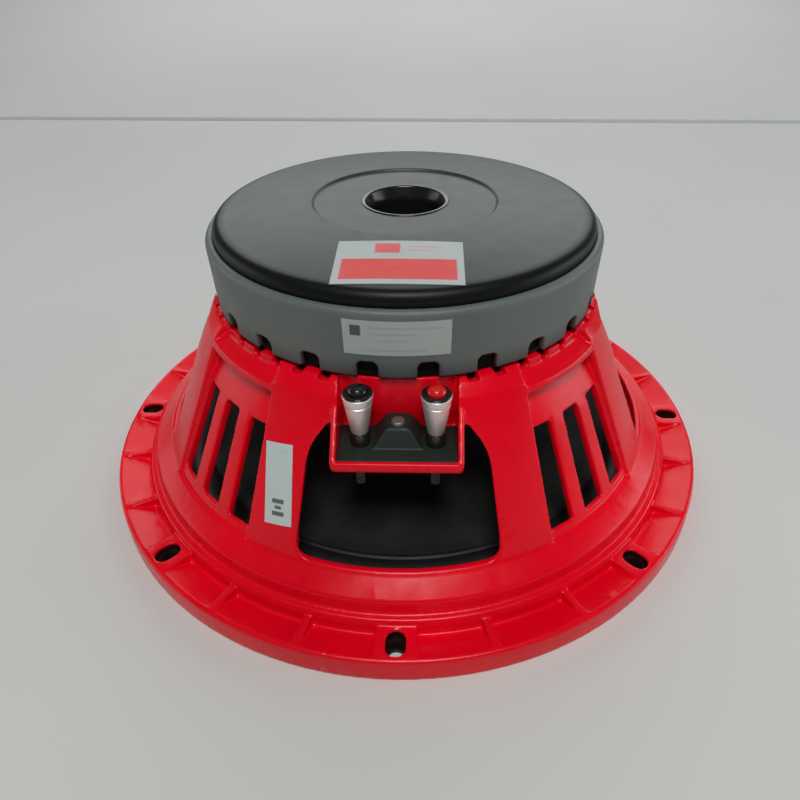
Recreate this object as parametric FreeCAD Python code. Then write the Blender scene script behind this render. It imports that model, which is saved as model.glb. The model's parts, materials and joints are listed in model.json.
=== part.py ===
import FreeCAD, Part
import math
import os

# A twelve-inch car subwoofer driver, standing on its front flange with its motor on top.
# Millimetres. Z is the driver's axis, from the mounting face (z = 0) up to the magnet.
# The two push terminals face -Y. Angles are degrees about +Z, so -90 is the terminal side.
# Every separate piece of the driver is one STEP file in parts/.

Vector = FreeCAD.Vector
UP = Vector(0, 0, 1)
CENTRE = Vector(0, 0, 0)
FRONT = -90

# --- driving dimensions ------------------------------------------------------------------

# Flange
FLANGE_R = 157.5
FLANGE_T = 12.0
RECESS_R = 134.0          # the round recess that the surround sits in
LEDGE_Z = 16.0            # the surround's glue ledge, at the recess's bottom
GASKET_R0 = 137.0
GASKET_R1 = 155.5
GASKET_T = 2.0
SCREW_PCD = 298.0
SCREW_HOLE_R = 3.5
SCREW_COUNT = 8
SCREW_RELIEF_R = 4.1      # radial slot around each hole, on the flange's rear
SCREW_RELIEF_REACH = 1.6
SCREW_RELIEF_Z = 7.5
PAD_HALF_ANGLE = 3.3
RIB_HALF_ANGLE = 0.65
RIB_PITCH = 15
POCKET_Z = 7.0            # inner foot of the pockets, whose floors rise outward to the rim
POCKET_R = (142.0, 155.8)

# Conical wall: the arms' outer face, and the vented panels set back from it
WALL_Z0 = 25.0
ARM_R0 = 128.6
WALL_SLOPE = 0.436        # radius lost for each millimetre of height
PANEL_Z = (26.0, 70.0, 87.4)          # foot, bend and top of a vented panel
PANEL_SETBACKS = (2.0, 3.0, 6.4)      # how far it lies behind the arms at those heights
PANEL_T = 4.2
PANEL_HALF_ANGLE = 13.5
LIP_Z = 88.9              # lower edge of the rim over each panel
SHOULDER_Z = 91.4         # upper edge of that rim, where the shoulder steps in to the crown
WINDOW_ANGLES = (-90, 0, 90, 180)
PANEL_ANGLES = (-135, -45, 45, 135)
WINDOW_Z = (27.5, 84.0)
SILL_DROP = 6.0           # windows and slots reach lower on the wall's inner side
NOTCH_HALF_W = 33.0       # the side and rear windows run up past the motor seat
WINDOW_HALF_WIDTHS = (43.5, 36.8, 27.0)
WINDOW_WAIST_Z = 72.0
SLOT_PITCH = 9.9
SLOT_Z = (29.0, 72.5)
SLOT_HALF_WIDTHS = (6.7, 5.2)

# Motor seat
ARMS_Z = (30.0, 79.0)     # where the casting is divided into flange, arms and motor seat
DECK_Z = 81.0
SEAT_Z = 90.0
DECK_R0 = 60.0
HOUSING_R0 = 80.0         # ring that the spider's rim is glued under
HOUSING_R1 = 90.0
HOUSING_Z = 72.0
CROWN_R0 = 88.7           # toothed ring around the top plate
CROWN_R1 = 92.6
CROWN_Z = 98.5
TEETH = 48
TOOTH_GAP = 4.6
TOOTH_Z = 95.4
PLAIN_CROWN_ANGLE = 17    # half the crown's plain stretch, over the terminals
BOLT_PCD = 140.0
BOLT_COUNT = 8
BOLT_R = 2.5
BOLT_HEAD_R = 4.25
BOLT_HEAD_T = 5.0

# Motor
TOP_PLATE_R = 88.2
TOP_PLATE_T = 9.0
GAP_R1 = 40.9
POLE_R = 37.2
POLE_Z = 86.0
VENT_R = 16.5
MAGNET_R0 = 50.0
MAGNET_R1 = 88.9
MAGNET_T = 14.5
BACK_PLATE_R = 89.9
BACK_EDGE_Z = 135.6       # where the plate's rounded edge meets its coned face
BACK_TOP_Z = 139.9
BACK_STEP_R = 44.0        # rim of the shallow dish around the vent
BACK_DISH_Z = 138.6
FLARE_R = 20.8
FLARE_SEAT_R = 18.6
FLARE_Z = 122.0
BOOT_R0 = 90.1
BOOT_R_LOW = 92.5
BOOT_R_HIGH = 93.7
BOOT_Z = (100.0, 130.4)
NOTCHES = 24
NOTCH_W = 8.5
NOTCH_Z = 107.5

# Moving system, at rest
COIL_R0 = 38.0
FORMER_T = 0.4
WINDING_T = 1.5
WINDING_Z = (83.0, 106.0)
CONE_NECK_Z = 55.0
CONE_RIM_R = 105.0
CONE_RIM_Z = 16.6
CONE_T = 1.6
CAP_R = 50.0
CAP_HEIGHT = 15.0
CAP_T = 1.2
SURROUND_T = 1.3
SURROUND_LIP_R = 124.0
SPIDER_T = 0.8
SPIDER_WAVES = 5
SPIDER_SWING = 1.9

# Terminal tray, in front of the motor seat
TRAY_HALF_W = 26.3
TRAY_Y = -115.0
TRAY_Z = (71.0, 73.4)
TRAY_LIP_Z = 75.3
TRAY_WALL = 2.3
BOARD_Z = 75.0
BOARD_GAP = 0.2
BOSS_R = 4.5              # the board's bosses, through the tray's floor
HUMP_TOP = 82.0
HUMP_Y = (-105.5, -100.8) # foot and brow of the hump's front slope
RIVET_Y = -97.0
RIVET_R = 1.6
RIVET_HEAD_R = 2.9
RIVET_HEAD_T = 1.5
POST_X = 15.2
POST_Y = -100.5
POST_Z = (80.6, 98.8)
POST_R = (3.5, 6.2)
INSULATOR_R = 4.3
COLLAR_R = 5.3
COLLAR_Z = (97.2, 99.6)
BUTTON_R = 3.7
BUTTON_Z = (98.0, 102.2)
BUTTON_TRAVEL = 2.8
PLUNGER_R = 2.5
PLUNGER_Z = 87.0
WELL_Z = 82.0             # bottom of the spring's well in the post
WIRE_HOLE_Z = 90.0
WIRE_HOLE_R = 1.5
RUNNING_GAP = 0.05
STEM_R = 2.0
STEM_END_Z = 64.0
LUG_Z = 70.0              # the lugs' upper face, under the tray's insulators
LUG_T = 0.8
LUG_TIP_Z = 57.5
TAB_HALF_W = 1.8
TAB_Y = (-6.2, -5.4)      # the tab's two faces, from the post's axis
NUT_T = 3.2
NUT_WIDTH = 7.0
LEAD_R = 0.9
LEAD_X = (-12.4, 12.4)
EYELET_PLACE_R = 52.5
EYELET_R = 1.6
SPRING_WIRE_R = 0.3
SPRING_TURNS = 3.5

# Printed labels
LABEL_T = 0.25
REAR_LABEL_HALF_W = 25.5
REAR_LABEL_Y = (-83.0, -49.0)
BOOT_LABEL_HALF_W = 20.5
BOOT_LABEL_Z = (111.2, 126.6)
ARM_LABEL_HALF_SIZES = (6.6, 16.3)
ARM_LABEL_Z = 54.3
ARM_LABEL_ANGLE = -115.6
ARM_LABEL_TILT = 8.5

# Heights and radii that follow from the others
MAGNET_Z = SEAT_Z + TOP_PLATE_T
BACK_PLATE_Z = MAGNET_Z + 2 * MAGNET_T
FORMER_R1 = COIL_R0 + FORMER_T
CONE_SLOPE = (CONE_NECK_Z - CONE_RIM_Z) / (CONE_RIM_R - FORMER_R1 - 3)
CONE_RISE = CONE_T * math.sqrt(1 + CONE_SLOPE ** 2)   # the cone's thickness along Z


# --- helpers -----------------------------------------------------------------------------

def outline(corners, place):
    """A closed face through corners (u, v) or (u, v, radius), set in space by place(u, v)."""
    points = [Vector(c[0], c[1], 0) for c in corners]
    radii = [c[2] if len(c) > 2 else 0 for c in corners]
    starts = []
    middles = []
    ends = []
    for k, corner in enumerate(points):
        back = (points[k - 1] - corner).normalize()
        ahead = (points[(k + 1) % len(points)] - corner).normalize()
        half = back.getAngle(ahead) / 2
        reach = radii[k] / math.tan(half)
        starts.append(corner + back * reach)
        ends.append(corner + ahead * reach)
        inward = (back + ahead).normalize() if radii[k] else Vector()
        middles.append(corner + inward * (radii[k] / math.sin(half) - radii[k]))
    edges = []
    for k in range(len(points)):
        if radii[k]:
            arc = [place(p.x, p.y) for p in (starts[k], middles[k], ends[k])]
            edges.append(Part.Arc(*arc).toShape())
        following = starts[(k + 1) % len(points)]
        if ends[k].distanceToPoint(following) > 1e-4:
            line = Part.LineSegment(place(ends[k].x, ends[k].y), place(following.x, following.y))
            edges.append(line.toShape())
    return Part.Face(Part.Wire(edges))


def spin(corners, start=0, sweep=360):
    """The solid swept about Z by an outline of (radius, z) corners."""
    face = outline(corners, lambda r, z: Vector(r, 0, z))
    face.rotate(CENTRE, UP, start)
    return face.revolve(CENTRE, UP, sweep)


def outward(corners, angle, near, far):
    """A prism from near to far along the direction angle; corners are (sideways, z)."""
    a = math.radians(angle)
    along = Vector(math.cos(a), math.sin(a), 0)
    side = Vector(-math.sin(a), math.cos(a), 0)
    face = outline(corners, lambda u, z: along * near + side * u + UP * z)
    return face.extrude(along * (far - near))


def sideways(corners, x0, x1):
    """A prism from x0 to x1; corners are (y, z)."""
    return outline(corners, lambda y, z: Vector(x0, y, z)).extrude(Vector(x1 - x0, 0, 0))


def upright(corners, z0, z1):
    """A prism from z0 to z1; corners are (x, y)."""
    return outline(corners, lambda x, y: Vector(x, y, z0)).extrude(Vector(0, 0, z1 - z0))


def rod(r, z0, z1, x=0.0, y=0.0):
    return Part.makeCylinder(r, z1 - z0, Vector(x, y, z0), UP)


def ring(r0, r1, z0, z1, x=0.0, y=0.0):
    return rod(r1, z0, z1, x, y).cut(rod(r0, z0, z1, x, y))


def around(shape, count, first=0):
    """Copies of a shape, evenly spaced about Z."""
    copies = []
    for k in range(count):
        copy = shape.copy()
        copy.rotate(CENTRE, UP, first + k * 360 / count)
        copies.append(copy)
    return copies


def arm_r(z):
    """Radius of the arms' outer face at height z."""
    return ARM_R0 - WALL_SLOPE * (z - WALL_Z0)


def panel_corners():
    """(radius, height) of the vented panels' outer face, from its foot to its top."""
    return [(arm_r(z) - setback, z) for z, setback in zip(PANEL_Z, PANEL_SETBACKS)]


# --- basket ------------------------------------------------------------------------------

def basket_blank():
    """The casting before it is opened: flange, shoulder, conical wall, motor deck and crown."""
    bend_r, bend_z = panel_corners()[1]
    return spin([
        (RECESS_R, 0, 0.5), (GASKET_R0, 0), (GASKET_R0, GASKET_T), (GASKET_R1, GASKET_T),
        (GASKET_R1, 0), (FLANGE_R, 0, 0.6), (FLANGE_R, FLANGE_T, 1.5),
        (141.2, FLANGE_T, 0.8), (140.8, 14.4, 1.0), (137.8, 14.4, 0.8), (136.6, 20.6, 1.6),
        (127.9, arm_base_z(), 3.0), (arm_r(93.0), 93.0, 2.5), (94.6, 97.6, 1.5),
        (CROWN_R1, CROWN_Z, 0.5), (CROWN_R0, CROWN_Z),
        (CROWN_R0, SEAT_Z), (DECK_R0, SEAT_Z), (DECK_R0, DECK_Z, 0.8),
        (HOUSING_R0, DECK_Z), (HOUSING_R0, HOUSING_Z), (HOUSING_R1, HOUSING_Z, 0.6),
        (HOUSING_R1, DECK_Z, 1.0), (arm_r(DECK_Z) - 9.4, DECK_Z, 1.0),
        (bend_r - PANEL_T, bend_z, 8.0), (arm_r(28.5) - 6.2, 28.5, 3.0),
        (123.5, 22.0, 1.5), (123.5, LEDGE_Z, 0.6), (RECESS_R, LEDGE_Z, 0.6),
    ])


def arm_base_z():
    """Height where the shoulder meets the arms' outer face."""
    return WALL_Z0 + (ARM_R0 - 127.9) / WALL_SLOPE


def panel_recess(angle):
    """What is taken off the wall between two arms: over the vented panel and above its rim."""
    foot, bend, top = panel_corners()
    over_panel = spin([
        (*foot, 1.0), bend, (*top, 1.0), (arm_r(LIP_Z) + 3, LIP_Z + 0.4), (arm_r(foot[1]) + 7, foot[1]),
    ], angle - PANEL_HALF_ANGLE, 2 * PANEL_HALF_ANGLE)
    over_rim = spin([
        (arm_r(SHOULDER_Z) + 3, SHOULDER_Z - 0.8), (97.0, SHOULDER_Z + 0.8, 1.5),
        (CROWN_R1, 95.0, 0.8), (CROWN_R1, CROWN_Z + 1), (arm_r(SHOULDER_Z) + 3, CROWN_Z + 1),
    ], angle - PANEL_HALF_ANGLE, 2 * PANEL_HALF_ANGLE)
    return [over_panel, over_rim]


def slot(angle):
    """One opening in a panel, cut lower on the inside so that its sill is thin."""
    low, top = SLOT_Z
    wide, narrow = SLOT_HALF_WIDTHS
    lip_r = panel_corners()[0][0] - 3.2
    through = [(-wide, low, 1.5), (wide, low, 1.5), (narrow, top, 2.2), (-narrow, top, 2.2)]
    inner = [(-wide, low - 4, 1.5), (wide, low - 4, 1.5), (wide, low + 4), (-wide, low + 4)]
    return [
        outward(through, angle, HOUSING_R1 + 2, FLANGE_R),
        outward(inner, angle, HOUSING_R1 + 2, lip_r),
    ]


def window(angle):
    """The opening between two pairs of arms; all but the terminals' run up past the seat."""
    low, top = WINDOW_Z
    wide, middle, narrow = WINDOW_HALF_WIDTHS
    through = outward([
        (-wide, low, 5.5), (wide, low, 5.5), (middle, WINDOW_WAIST_Z, 30.0), (narrow, top, 7.0),
        (-narrow, top, 7.0), (-middle, WINDOW_WAIST_Z, 30.0),
    ], angle, DECK_R0, FLANGE_R)
    sill = low - SILL_DROP
    inner = outward([
        (-wide, sill, 5.5), (wide, sill, 5.5), (wide - 2, low + 9), (2 - wide, low + 9),
    ], angle, HOUSING_R1 + 2, FLANGE_R).common(rod(arm_r(low) - 2.8, 0, CROWN_Z))
    opening = through.fuse(inner).cut(rod(HOUSING_R1 + 1.5, 0, CROWN_Z))
    if angle == FRONT:
        return opening
    half = NOTCH_HALF_W
    above = outward([
        (-half, top - 8), (half, top - 8), (half, CROWN_Z + 1), (-half, CROWN_Z + 1),
    ], angle, CROWN_R1, FLANGE_R)
    return opening.fuse(above)


def flange_cuts():
    """Screw holes with their relief slots, and the pockets between the flange's ribs."""
    cuts = []
    hole = rod(SCREW_HOLE_R, -1, FLANGE_T + 2, SCREW_PCD / 2)
    half = SCREW_RELIEF_R
    near = SCREW_PCD / 2 - SCREW_RELIEF_REACH - half
    far = SCREW_PCD / 2 + SCREW_RELIEF_REACH + half
    bend = half - 0.01
    ends = [(near, -half, bend), (far, -half, bend), (far, half, bend), (near, half, bend)]
    relief = upright(ends, SCREW_RELIEF_Z, FLANGE_T + 2)
    cuts += around(hole, SCREW_COUNT, FRONT)
    cuts += around(relief, SCREW_COUNT, FRONT)
    near, far = POCKET_R
    profile = [(near, POCKET_Z, 1.2), (far, FLANGE_T + 0.05), (far, 20), (near - 0.6, 20)]
    pad_pitch = 360 / SCREW_COUNT
    for k in range(SCREW_COUNT):
        for n in range(3):
            low = n * RIB_PITCH + (PAD_HALF_ANGLE if n == 0 else RIB_HALF_ANGLE)
            high = (n + 1) * RIB_PITCH - (PAD_HALF_ANGLE if n == 2 else RIB_HALF_ANGLE)
            cuts.append(spin(profile, FRONT + k * pad_pitch + low, high - low))
    return cuts


def crown_gaps():
    """The gaps between the crown's teeth, left out over the terminals."""
    gaps = []
    for k in range(TEETH):
        angle = (k + 0.5) * 360 / TEETH
        from_front = abs((angle - FRONT + 180) % 360 - 180)
        if from_front > PLAIN_CROWN_ANGLE:
            half = TOOTH_GAP / 2
            corners = [(-half, TOOTH_Z, 1), (half, TOOTH_Z, 1), (half, 101), (-half, 101)]
            gaps.append(outward(corners, angle, CROWN_R0 - 1.5, CROWN_R1 + 1.5))
    return gaps


def tray_blank():
    """The terminal tray's floor and lip, and the two gussets that carry it."""
    plan = [
        (-TRAY_HALF_W, TRAY_Y, 2.5), (TRAY_HALF_W, TRAY_Y, 2.5),
        (TRAY_HALF_W, -HOUSING_R1 + 5), (-TRAY_HALF_W, -HOUSING_R1 + 5),
    ]
    block = upright(plan, TRAY_Z[0], TRAY_LIP_Z)
    side = [
        (TRAY_Y + 2.4, TRAY_Z[0]), (TRAY_Y + 1.2, TRAY_LIP_Z, 1.5), (-96.8, 90.4, 3.0),
        (-89.0, 96.6, 1.0), (-86.2, 96.6), (-82.5, DECK_Z), (-82.5, TRAY_Z[0]),
    ]
    gussets = [
        sideways(side, -TRAY_HALF_W, TRAY_WALL - TRAY_HALF_W),
        sideways(side, TRAY_HALF_W - TRAY_WALL, TRAY_HALF_W),
    ]
    spider_room = rod(HOUSING_R1 - 0.5, TRAY_Z[0] - 1, HOUSING_Z)
    return block.fuse(gussets).cut(spider_room)


def tray_cuts():
    """The niche that the terminals stand in, and the holes in the tray's floor."""
    inner = TRAY_HALF_W - TRAY_WALL
    plan = [(-inner, TRAY_Y + TRAY_WALL, 1.0), (inner, TRAY_Y + TRAY_WALL, 1.0), (inner, 0), (-inner, 0)]
    niche = upright(plan, TRAY_Z[1], CROWN_Z + 2).cut(rod(HOUSING_R1 + 0.2, 0, CROWN_Z + 3))
    boss_hole_r = BOSS_R + 0.1
    holes = [rod(boss_hole_r, TRAY_Z[0] - 1, TRAY_Z[1] + 1, x, POST_Y) for x in (-POST_X, POST_X)]
    rivet_hole = rod(RIVET_R + 0.1, TRAY_Z[0] - 1, TRAY_Z[1] + 1, 0, RIVET_Y)
    return [niche, rivet_hole] + holes


def bolt_cuts():
    through = rod(BOLT_R + 0.25, DECK_Z - 1, SEAT_Z + 1, BOLT_PCD / 2)
    counterbore = rod(BOLT_HEAD_R + 0.35, DECK_Z - 1, DECK_Z + BOLT_HEAD_T + 0.2, BOLT_PCD / 2)
    return around(through, BOLT_COUNT) + around(counterbore, BOLT_COUNT)


def casting():
    """The whole die-cast basket in one piece."""
    openings = flange_cuts() + crown_gaps() + bolt_cuts()
    for angle in PANEL_ANGLES:
        openings += panel_recess(angle)
        for n in (-1, 0, 1):
            openings += slot(angle + n * SLOT_PITCH)
    openings += [window(a) for a in WINDOW_ANGLES]
    return basket_blank().cut(openings).fuse(tray_blank()).cut(tray_cuts())


def arms_zone():
    """The space that holds the arms' share of the casting, clear of the terminal tray."""
    low, high = ARMS_Z
    return ring(HOUSING_R1 + 0.5, FLANGE_R, low, high).cut(tray_blank())


def basket_flange(whole):
    """The casting's foot: mounting flange, surround ledge and shoulder."""
    return whole.common(rod(FLANGE_R + 1, -1, ARMS_Z[0]))


def basket_arms(whole):
    """Eight arms in four pairs, each pair with the vented panel between it."""
    return whole.common(arms_zone())


def basket_seat(whole):
    """The casting's head: motor deck, spider housing, toothed crown and terminal tray."""
    return whole.common(rod(FLANGE_R, ARMS_Z[0], CROWN_Z + 5)).cut(arms_zone())


def front_gasket():
    """Soft ring in the flange's front face, with clearance holes for the mounting screws."""
    holes = around(rod(SCREW_HOLE_R + 0.2, -1, GASKET_T + 1, SCREW_PCD / 2), SCREW_COUNT, FRONT)
    return ring(GASKET_R0, GASKET_R1, 0, GASKET_T).cut(holes)


# --- motor -------------------------------------------------------------------------------

def top_plate():
    plate = spin([
        (GAP_R1, SEAT_Z, 0.5), (TOP_PLATE_R, SEAT_Z), (TOP_PLATE_R, MAGNET_Z, 0.6),
        (GAP_R1, MAGNET_Z, 0.5),
    ])
    thread = rod(BOLT_R + RUNNING_GAP, SEAT_Z - 1, MAGNET_Z - 1, BOLT_PCD / 2)
    return plate.cut(around(thread, BOLT_COUNT))


def motor_bolt():
    """Socket-head screw from the deck's counterbore up into the top plate."""
    head = rod(BOLT_HEAD_R, DECK_Z + 0.2, DECK_Z + 0.2 + BOLT_HEAD_T, BOLT_PCD / 2)
    shank = rod(BOLT_R, DECK_Z + BOLT_HEAD_T, MAGNET_Z - 1.5, BOLT_PCD / 2)
    socket = Part.makeBox(4, 4, 2.7, Vector(BOLT_PCD / 2 - 2, -2, DECK_Z))
    return head.fuse(shank).cut(socket)


def magnet(level):
    z = MAGNET_Z + level * MAGNET_T
    return spin([
        (MAGNET_R0, z, 0.8), (MAGNET_R1, z, 0.8), (MAGNET_R1, z + MAGNET_T, 0.8),
        (MAGNET_R0, z + MAGNET_T, 0.8),
    ])


def yoke():
    """Back plate and vented pole, one forging."""
    return spin([
        (VENT_R, POLE_Z, 1.0), (POLE_R, POLE_Z, 0.6), (POLE_R, BACK_PLATE_Z, 1.0),
        (BACK_PLATE_R, BACK_PLATE_Z, 0.6), (BACK_PLATE_R, BACK_EDGE_Z + 0.4, 4.6),
        (BACK_STEP_R, BACK_TOP_Z, 0.8), (BACK_STEP_R - 1.2, BACK_DISH_Z, 0.8),
        (FLARE_R, BACK_DISH_Z), (FLARE_R, BACK_DISH_Z - 1.6), (FLARE_SEAT_R, BACK_DISH_Z - 6),
        (FLARE_SEAT_R, FLARE_Z), (VENT_R, FLARE_Z),
    ])


def vent_flare():
    """Smooth plastic mouth pressed into the rear end of the vent."""
    top = BACK_DISH_Z + 0.5
    return spin([
        (VENT_R, FLARE_Z), (FLARE_SEAT_R, FLARE_Z), (FLARE_SEAT_R, BACK_DISH_Z - 6),
        (FLARE_R, BACK_DISH_Z - 1.6), (FLARE_R, top, 0.5), (VENT_R + 2.8, top, 1.2),
        (VENT_R, top - 5.5, 7.0),
    ])


def shorting_ring():
    return ring(43.5, MAGNET_R0 - 0.1, BACK_PLATE_Z - 13, BACK_PLATE_Z)


def magnet_boot():
    """Rubber boot around the magnets, notched along its lower edge."""
    low, high = BOOT_Z
    sleeve = spin([
        (BOOT_R0 - 0.9, low), (BOOT_R_LOW, low, 0.6), (BOOT_R_HIGH, high, 2.4), (BOOT_R0, high, 0.4),
        (BOOT_R0, BACK_PLATE_Z), (BOOT_R0 - 0.9, BACK_PLATE_Z),
    ])
    half = NOTCH_W / 2
    notch = [(-half, low - 2), (half, low - 2), (half, NOTCH_Z, 2.4), (-half, NOTCH_Z, 2.4)]
    first = FRONT + 180 / NOTCHES
    return sleeve.cut([outward(notch, first + k * 360 / NOTCHES, 85, 100) for k in range(NOTCHES)])


# --- moving system -----------------------------------------------------------------------

def cone_front_z(r):
    """Height of the cone's front face at radius r, on its straight part."""
    return CONE_RIM_Z + (CONE_RIM_R - r) * CONE_SLOPE


def cone():
    """Paper cone: a neck glued to the coil's former, a straight flare and a flat rim."""
    neck = FORMER_R1 + CONE_T
    profile = [
        (FORMER_R1, cone_front_z(FORMER_R1)), (CONE_RIM_R, CONE_RIM_Z, 6.0),
        (CONE_RIM_R + 5, CONE_RIM_Z), (CONE_RIM_R + 5, CONE_RIM_Z + CONE_T),
        (CONE_RIM_R + 0.5, CONE_RIM_Z + CONE_T, 5.0),
        (neck, cone_front_z(neck) + CONE_RISE, 2.0), (neck, CONE_NECK_Z + 6), (FORMER_R1, CONE_NECK_Z + 6),
    ]
    return spin(profile).cut([eyelet_barrel(x, 2) for x in LEAD_X])


def eyelet_seat(x):
    """Point on the cone's back where a lead's eyelet stands."""
    y = -math.sqrt(EYELET_PLACE_R ** 2 - x ** 2)
    return Vector(x, y, cone_front_z(EYELET_PLACE_R) + CONE_RISE)


def eyelet_axis(x):
    """Unit normal of the cone's back at an eyelet."""
    seat = eyelet_seat(x)
    level = CONE_SLOPE / EYELET_PLACE_R
    return Vector(seat.x * level, seat.y * level, 1).normalize()


def eyelet_barrel(x, spare):
    axis = eyelet_axis(x)
    return Part.makeCylinder(EYELET_R, CONE_T + 2 * spare, eyelet_seat(x) - axis * (CONE_T + spare), axis)


def lead_eyelets():
    """Brass eyelets through the cone, where the flexible leads join the coil's wires."""
    pieces = []
    for x in LEAD_X:
        axis = eyelet_axis(x)
        flange = Part.makeCylinder(EYELET_R + 1, 0.5, eyelet_seat(x) + axis * 0.15, axis)
        pieces.append(eyelet_barrel(x, 0.65).fuse(flange))
    return Part.makeCompound(pieces)


def dust_cap():
    """Domed cap glued to the front of the cone."""
    base = cone_front_z(CAP_R)
    span = CAP_R ** 2 / (2 * CAP_HEIGHT) + CAP_HEIGHT / 2
    outer = Part.makeSphere(span, Vector(0, 0, base - CAP_HEIGHT + span))
    inner = Part.makeSphere(span - CAP_T, Vector(0, 0, base - CAP_HEIGHT + span))
    behind_cone = spin([
        (0, -10), (CAP_R + 20, -10), (CAP_R + 20, cone_front_z(CAP_R + 20)),
        (FORMER_R1, cone_front_z(FORMER_R1)), (0, cone_front_z(FORMER_R1)),
    ])
    return outer.cut(inner).common(behind_cone).common(rod(CAP_R + 5, 0, base + 1))


def coil_former():
    return ring(COIL_R0, FORMER_R1, CONE_NECK_Z - 3, WINDING_Z[1] + 1)


def voice_coil():
    r = FORMER_R1
    low, high = WINDING_Z
    return spin([(r, low), (r + WINDING_T, low, 0.4), (r + WINDING_T, high, 0.4), (r, high)])


def surround():
    """Half-roll rubber edge between the cone's rim and the flange's ledge, rolled to the front."""
    top = LEDGE_Z
    low = top - SURROUND_T - 0.6
    inner = CONE_RIM_R + 0.2
    middle = (SURROUND_LIP_R + inner + 5) / 2
    roll = (SURROUND_LIP_R - inner - 5) / 2
    crest = top - roll - 1.6
    rim = RECESS_R - 0.8
    t = SURROUND_T
    return spin([
        (inner, CONE_RIM_Z - t), (inner + 5 - t, CONE_RIM_Z - t, 1.0),
        (inner + 5 - t / 2, crest, roll * 0.85), (SURROUND_LIP_R + t / 2, crest, roll * 0.85),
        (SURROUND_LIP_R + t, low, 1.0), (rim, low), (rim, top),
        (SURROUND_LIP_R, top, 1.0), (middle + roll - t / 2, crest + t, roll * 0.75),
        (middle - roll + t / 2, crest + t, roll * 0.75), (inner + 5, CONE_RIM_Z, 0.8), (inner, CONE_RIM_Z),
    ])


def spider():
    """Corrugated cloth disc that centres the coil, glued to the former and under the housing."""
    top = HOUSING_Z
    r0 = FORMER_R1
    r1 = HOUSING_R0 + 1.0
    mid = top - SPIDER_SWING - SPIDER_T - 0.7
    step = (r1 - r0 - 5.0) / (2 * SPIDER_WAVES)
    upper = []
    lower = []
    for k in range(2 * SPIDER_WAVES):
        r = r0 + 3.2 + (k + 0.5) * step
        z = mid + (SPIDER_SWING if k % 2 else -SPIDER_SWING)
        upper.append((r, z + SPIDER_T, 1.3))
        lower.append((r, z, 1.3))
    collar = [(r0, mid + 3.0), (r0 + 1.0, mid + 3.0), (r0 + 1.2, mid + SPIDER_T, 1.0)]
    edge = HOUSING_R1 - 1.5
    rim = [(r1 + 0.3, top, 0.8), (edge, top), (edge, top - SPIDER_T), (r1, top - SPIDER_T, 0.8)]
    return spin(collar + upper + rim + lower[::-1] + [(r0, mid - 0.2)])


# --- terminals ---------------------------------------------------------------------------

def terminal_board():
    """Moulded insulator in the tray: a plate, two bosses through the tray and a sloped hump."""
    half = TRAY_HALF_W - TRAY_WALL - BOARD_GAP
    front = TRAY_Y + TRAY_WALL + BOARD_GAP
    rear = -HOUSING_R1
    housing = rod(HOUSING_R1 + 0.5, TRAY_Z[0], HUMP_TOP + 1)
    plan = [(-half, front, 1.2), (half, front, 1.2), (half, rear), (-half, rear)]
    plate = upright(plan, TRAY_Z[1], BOARD_Z)
    bell = outline([
        (-14, BOARD_Z - 1), (-14, BOARD_Z), (-9.8, BOARD_Z, 3), (-4.6, HUMP_TOP, 4),
        (4.6, HUMP_TOP, 4), (9.8, BOARD_Z, 3), (14, BOARD_Z), (14, BOARD_Z - 1),
    ], lambda x, z: Vector(x, rear, z)).extrude(Vector(0, HUMP_Y[0] - rear, 0))
    foot, brow = HUMP_Y
    slope = sideways([
        (foot - 1, BOARD_Z), (foot, BOARD_Z), (brow, HUMP_TOP, 2.0), (brow + 2, HUMP_TOP),
        (brow + 2, HUMP_TOP + 5), (foot - 1, HUMP_TOP + 5),
    ], -half, half)
    bosses = [rod(BOSS_R, LUG_Z, BOARD_Z, x, POST_Y) for x in (-POST_X, POST_X)]
    board = plate.fuse([bell.cut(slope)] + bosses)
    holes = [housing, rod(RIVET_R + RUNNING_GAP, LUG_Z, HUMP_TOP + 1, 0, RIVET_Y)]
    for x in (-POST_X, POST_X):
        holes.append(rod(STEM_R + RUNNING_GAP, LUG_Z - 1, HUMP_TOP, x, POST_Y))
        holes.append(rod(INSULATOR_R + 0.1, BOARD_Z, HUMP_TOP, x, POST_Y))
    return board.cut(holes)


def board_rivet():
    """Rivet that holds the board to the tray, its head on top of the hump."""
    low = TRAY_Z[0]
    rivet = spin([
        (0, low - 1.3), (RIVET_HEAD_R, low - 1.3, 0.4), (RIVET_HEAD_R, low), (RIVET_R, low),
        (RIVET_R, HUMP_TOP), (RIVET_HEAD_R, HUMP_TOP), (RIVET_HEAD_R, HUMP_TOP + RIVET_HEAD_T, 1.2),
        (0, HUMP_TOP + RIVET_HEAD_T),
    ])
    rivet.translate(Vector(0, RIVET_Y, 0))
    return rivet


def placed(shape, x):
    shape.translate(Vector(x, POST_Y, 0))
    return shape


def insulators():
    """Black bushes between the board and the posts."""
    hole_r = STEM_R + RUNNING_GAP
    high = POST_Z[0]
    profile = [
        (hole_r, BOARD_Z), (INSULATOR_R, BOARD_Z, 0.3), (INSULATOR_R, BOARD_Z + 2.2, 0.5),
        (POST_R[0] + 0.1, high, 0.3), (hole_r, high),
    ]
    return Part.makeCompound([placed(spin(profile), x) for x in (-POST_X, POST_X)])


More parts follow.
